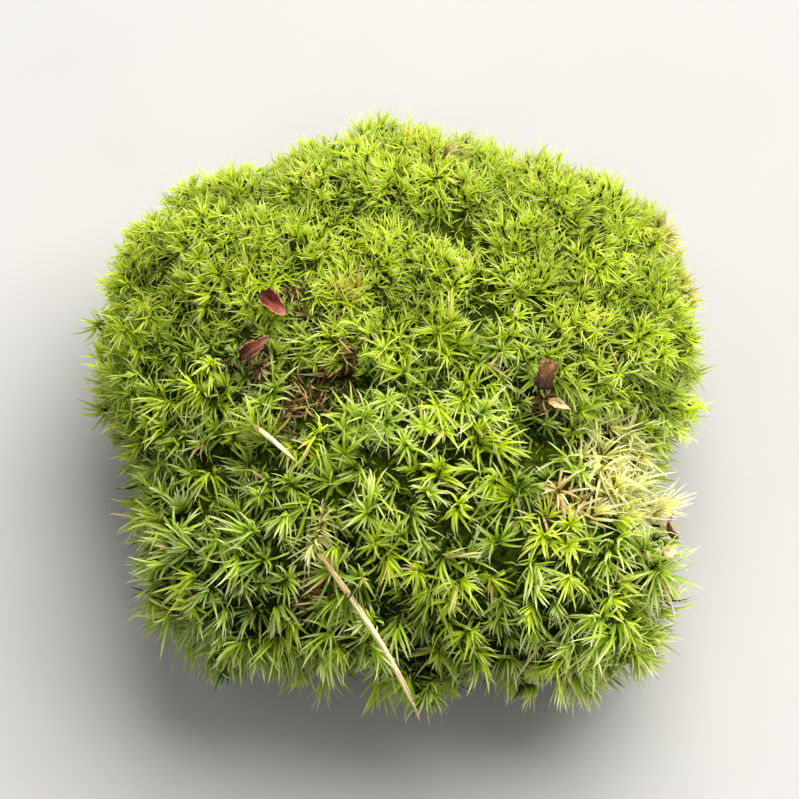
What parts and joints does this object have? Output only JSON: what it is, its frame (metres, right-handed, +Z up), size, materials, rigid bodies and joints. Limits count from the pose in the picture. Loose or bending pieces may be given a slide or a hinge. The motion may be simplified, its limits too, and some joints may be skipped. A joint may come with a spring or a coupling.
{
  "type": "moss clump",
  "caption": "Domed clump of cushion moss with tufted shoots on a flat-cut mat of humus, with a few dry needles and bud scales, for decorating or planting.",
  "frame": {"origin": "middle of the flat cut underside of the humus mat, on the surface that the clump stands on", "axes": "+Z up through the crown of the cushion; -Y is the front, the side nearest to the viewer of the picture; +X is the picture's right"},
  "size_m": [0.102, 0.1017, 0.0575],
  "materials": {
    "moss": "soft matte moss leaves, yellow-green at the tips and darker inside, with dead tan tufts",
    "humus": "matte dark brown dead stems, rhizoids and humus",
    "dry_needle": "dry straw-coloured needle with a faint sheen",
    "bud_scale": "dry red-brown scale, slightly glossy",
    "bark": "dry matte brown bark",
    "husk": "thin dry pale husk"
  },
  "bodies": {
    "root": {"moss_cushion": "moss", "humus_pad": "humus", "dry_needle_long": "dry_needle", "dry_needle_short": "dry_needle", "bud_scale_upper": "bud_scale", "bud_scale_lower": "bud_scale", "bark_flake_brown": "bark", "bark_flake_edge": "bud_scale", "husk_flake_pale": "husk", "husk_flake_edge": "husk"}
  },
  "joints": []
}
